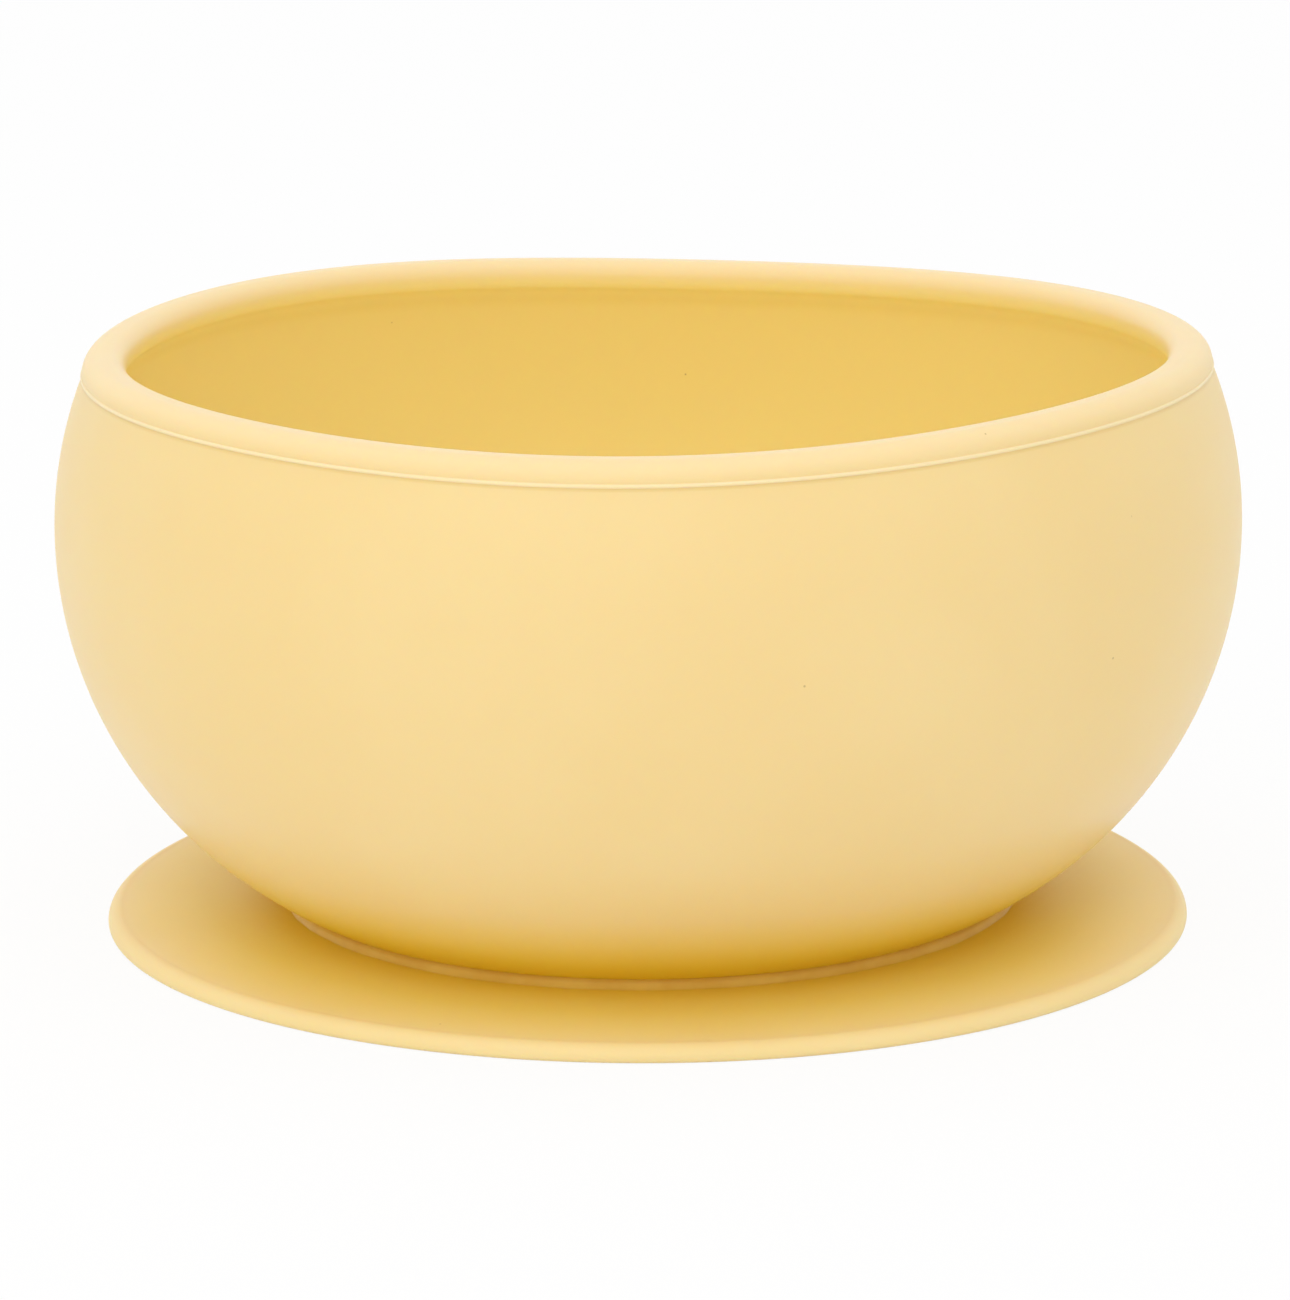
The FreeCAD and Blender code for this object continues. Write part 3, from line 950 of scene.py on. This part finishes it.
@dataclass
class BondBead:
    """The adhesive: a film under the foot and a hollow-faced bead round it, laid by hand."""

    finish: Silicone
    hollow: float = 0.14 * MM
    wobble: float = 0.12 * MM
    wobble_length: float = 5.0 * MM
    wobble_falloff: float = 0.8
    wobble_ratio: float = 2.0
    wobble_layers: int = 3
    skirt: float = 0.05 * MM
    tuck: float = 0.03 * MM
    lap_width: float = 0.25 * MM
    lap_drop: float = 0.02 * MM
    film_step: float = 4.0 * MM
    skirt_step: float = 0.05 * MM
    face_step: float = 0.08 * MM
    lap_step: float = 0.1 * MM
    foot_edge_step: float = 0.3 * MM
    segments: int = 540

    def __post_init__(self) -> None:
        """Take the bead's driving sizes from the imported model."""
        low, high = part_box("bond_bead")
        self.base_height: float = low.z
        self.crease: Point = (CREASE_RADIUS, high.z)
        self.toe: Point = (high.x, low.z)
        self.foot_height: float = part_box("bowl")[0].z

    def outline(self) -> Outline:
        """Half-section from the axis under the film, out to the toe, up the face and back over the foot.

        Returns:
            The outline.
        """
        toe, crease = self.toe, self.crease
        chord = math.dist(toe, crease)
        bulge = (chord**2 / 4.0 + self.hollow**2) / (2.0 * self.hollow)
        across = ((toe[1] - crease[1]) / chord, (crease[0] - toe[0]) / chord)
        middle = ((toe[0] + crease[0]) / 2.0, (toe[1] + crease[1]) / 2.0)
        gap = bulge - self.hollow
        centre = (middle[0] - across[0] * gap, middle[1] - across[1] * gap)
        return (
            Outline((0.0, self.base_height - self.tuck))
            .line((toe[0] + self.skirt, self.base_height - self.tuck), self.film_step)
            .line(toe, self.skirt_step)
            .zero()
            .arc(centre, crease, self.face_step)
            .line((crease[0] - self.lap_width, crease[1] - self.lap_drop), self.lap_step)
            .line((crease[0] - FOOT_INSET, self.foot_height + self.tuck), self.foot_edge_step)
            .line((0.0, self.foot_height + self.tuck), self.film_step)
        )

    def stray(self, radius: float, height: float, bearing: float) -> Point:
        """Hand-laid wobble of the toe, which fades up the face.

        Args:
            radius: the true radius.
            height: the true height.
            bearing: direction about the axis.

        Returns:
            Where the point really lies.
        """
        crease_radius, crease_height = self.crease
        if radius <= crease_radius:
            return radius, height
        share = max(0.0, 1.0 - (height - self.base_height) / (crease_height - self.base_height))
        spot = Vector((math.cos(bearing), math.sin(bearing), 0.0)) * (crease_radius / self.wobble_length)
        wander = noise.fractal(spot, self.wobble_falloff, self.wobble_ratio, self.wobble_layers)
        return radius + self.wobble * wander * share, height

    def build(self) -> bpy.types.Object:
        """Make the bead and put it on its body.

        Returns:
            The bead.
        """
        piece = turn_piece("adhesive_bead", self.outline(), self.segments, self.stray)
        piece.data.materials.append(self.finish.material())
        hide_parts("bond_bead")
        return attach(piece, Body.BOWL.value)


@dataclass
class SuctionBase:
    """The suction disc: level seat, top that falls to a rounded lip, sealing ring and cavity."""

    finish: Silicone
    lip_face_width: float = 1.5 * MM
    lip_side_height: float = 0.45 * MM
    top_fall: float = 0.18 * MM
    seal_inset: float = 0.35 * MM
    seal_width: float = 3.85 * MM
    cavity_slope_width: float = 5.7 * MM
    cavity_depth: float = 0.9 * MM
    seat_margin: float = 1.2 * MM
    seat_step: float = 1.0 * MM
    top_step: float = 0.4 * MM
    lip_step: float = 0.08 * MM
    segments: int = 360
    sag: Sag = Sag(
        lift=(),
        spread=(
            Wave(0, -0.16 * MM, 0.0),
            Wave(1, -0.25 * MM, -0.42 * MM),
            Wave(2, -0.32 * MM, -0.18 * MM),
            Wave(3, -0.17 * MM, -0.58 * MM),
            Wave(4, 0.16 * MM, 0.02 * MM),
        ),
    )

    def __post_init__(self) -> None:
        """Take the disc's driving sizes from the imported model."""
        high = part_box("suction_base")[1]
        self.disc_radius: float = high.x
        self.seat_height: float = high.z
        self.seat_radius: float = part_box("bond_bead")[1].x + self.seat_margin
        self.lip_edge: Point = (self.disc_radius - self.lip_face_width, self.seat_height - self.top_fall)

    def outline(self) -> Outline:
        """Half-section from the axis over the seat, down the top, round the lip and in under the cavity.

        Returns:
            The outline.
        """
        lip_side = (self.disc_radius, self.lip_side_height)
        face_rise = self.lip_edge[1] - lip_side[1]
        face_arc = (self.lip_face_width**2 + face_rise**2) / (2.0 * self.lip_face_width)
        under_arc = (self.seal_inset**2 + lip_side[1] ** 2) / (2.0 * self.seal_inset)
        seal_outer = self.disc_radius - self.seal_inset
        seal_inner = seal_outer - self.seal_width
        return (
            Outline((0.0, self.seat_height))
            .line((self.seat_radius, self.seat_height), self.seat_step)
            .line(self.lip_edge, self.top_step)
            .zero()
            .arc((lip_side[0] - face_arc, lip_side[1]), lip_side, self.lip_step)
            .arc((lip_side[0] - under_arc, lip_side[1]), (seal_outer, 0.0), self.lip_step)
            .line((seal_inner, 0.0), self.top_step)
            .line((seal_inner - self.cavity_slope_width, self.cavity_depth), self.top_step)
            .line((0.0, self.cavity_depth), self.seat_step)
        )

    def stray(self, radius: float, height: float, bearing: float) -> Point:
        """Where a point of the true shape really lies: full sag at the lip, none inside the seat.

        Args:
            radius: the true radius.
            height: the true height.
            bearing: direction about the axis.

        Returns:
            Its place.
        """
        share = max(0.0, (radius - self.seat_radius) / (self.disc_radius - self.seat_radius)) ** SAG_POWER
        return self.sag.move(radius, height, bearing, share)

    def build(self) -> bpy.types.Object:
        """Make the disc.

        Returns:
            The disc.
        """
        piece = turn_piece("suction_disc", self.outline(), self.segments, self.stray)
        piece.data.materials.append(self.finish.material())
        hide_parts("suction_base")
        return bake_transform(piece)


# ---------------------------------------------------------------------- studio


@dataclass(frozen=True)
class Lamp:
    """One soft box: its place, what it points at, its sides and its strength in watts."""

    name: str
    place: tuple[float, float, float]
    target: tuple[float, float, float]
    width: float
    depth: float
    watts: float
    tint: tuple[float, float, float] = (1.0, 1.0, 1.0)

    def build(self) -> None:
        """Hang the lamp and aim it."""
        data = bpy.data.lights.new(self.name, "AREA")
        data.shape = "RECTANGLE"
        data.size, data.size_y = self.width, self.depth
        data.energy = self.watts
        data.color = self.tint
        lamp = bpy.data.objects.new(self.name, data)
        lamp.location = self.place
        aim = Vector(self.target) - Vector(self.place)
        lamp.rotation_mode = "QUATERNION"
        lamp.rotation_quaternion = aim.to_track_quat("-Z", "Y")
        lamp.visible_glossy = False
        bpy.context.scene.collection.objects.link(lamp)


@dataclass
class Studio:
    """Floor, soft light and camera."""

    floor: Floor = field(default_factory=Floor)
    floor_side: float = 12.0
    floor_cells: int = 8
    floor_gap: float = 0.05 * MM
    world_tint: Colour = colour(1.0, 1.0, 1.0)
    world_strength: float = 0.72
    camera_place: tuple[float, float, float] = (-0.418 * MM, -593.4 * MM, 168.09 * MM)
    camera_dip: float = math.radians(13.394)
    camera_roll: float = math.radians(0.488)
    lens: float = 165.72
    sensor: float = 36.0
    clip_near: float = 0.01
    clip_far: float = 50.0
    lamps: tuple[Lamp, ...] = (
        Lamp("top_box", (0.0, -0.1, 1.1), (0.0, 0.0, 0.0), 1.2, 1.2, 3.0),
        Lamp("front_box", (-0.25, -1.15, 0.86), (0.0, 0.0, 0.03), 1.6, 1.1, 4.2),
        Lamp("back_box", (0.0, 1.25, 0.45), (0.0, 0.0, 0.02), 2.4, 0.8, 2.2),
        Lamp("left_fill", (-1.0, -0.75, 0.20), (0.0, 0.0, 0.02), 0.8, 0.3, 1.2, (1.0, 1.0, 0.97)),
        Lamp("right_fill", (1.2, -0.6, 0.24), (0.0, 0.0, 0.02), 0.8, 0.3, 0.9, (1.0, 1.0, 1.06)),
    )

    def build_floor(self) -> None:
        """Lay the floor just under the seal."""
        mesh = bmesh.new()
        cells = self.floor_cells
        bmesh.ops.create_grid(mesh, x_segments=cells, y_segments=cells, size=self.floor_side / 2.0)
        data = bpy.data.meshes.new("studio_floor")
        mesh.to_mesh(data)
        mesh.free()
        floor = bpy.data.objects.new("studio_floor", data)
        floor.location = (0.0, 0.0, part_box("suction_base")[0].z - self.floor_gap)
        bpy.context.scene.collection.objects.link(floor)
        data.materials.append(self.floor.material())

    def build_world(self) -> None:
        """Surround everything with even pale light that reads white to the camera."""
        world = bpy.data.worlds.new("studio_world")
        bpy.context.scene.world = world
        tree = ShaderTree(world)
        strength = self.world_strength + tree.seen() * (1.0 - self.world_strength)
        light = tree.node("ShaderNodeBackground", {}, {"Color": self.world_tint, "Strength": strength})
        tree.finish(light, "ShaderNodeOutputWorld")

    def build_camera(self) -> None:
        """Set up the camera."""
        data = bpy.data.cameras.new("studio_camera")
        data.sensor_width = self.sensor
        data.lens = self.lens
        data.clip_start, data.clip_end = self.clip_near, self.clip_far
        camera = bpy.data.objects.new("studio_camera", data)
        level = Matrix.Rotation(math.pi / 2.0 - self.camera_dip, 4, "X")
        roll = Matrix.Rotation(-self.camera_roll, 4, "Z")
        camera.matrix_world = Matrix.Translation(self.camera_place) @ level @ roll
        bpy.context.scene.collection.objects.link(camera)
        bpy.context.scene.camera = camera

    def build(self) -> None:
        """Set up everything that isn't part of the bowl."""
        self.build_floor()
        self.build_world()
        self.build_camera()
        for lamp in self.lamps:
            lamp.build()
        bpy.context.scene.view_settings.view_transform = "Standard"


def main() -> None:
    """Build each sub-assembly in order and report it."""
    logging.basicConfig(level=logging.INFO, format="%(name)s: %(message)s")
    moulded = BowlSilicone(
        "yellow_silicone", pale=colour(0.88, 0.677, 0.313), deep=colour(0.87, 0.657, 0.291)
    )
    disc = DiscSilicone(
        "disc_silicone", pale=colour(0.935, 0.735, 0.37), deep=colour(0.92, 0.715, 0.345), roughness=0.45
    )
    adhesive = BeadSilicone(
        "cured_adhesive",
        pale=colour(0.885, 0.55, 0.102),
        deep=colour(0.82, 0.475, 0.070),
        roughness=0.50,
        mottle=4.0 * MM,
        unevenness=1.6 * MM,
    )
    for part in (SuctionBase(disc), BondBead(adhesive), Bowl(moulded)):
        piece = part.build()
        log.info("%s: %d faces", piece.name, len(piece.data.polygons))
    Studio().build()


if __name__ == "__main__":
    main()
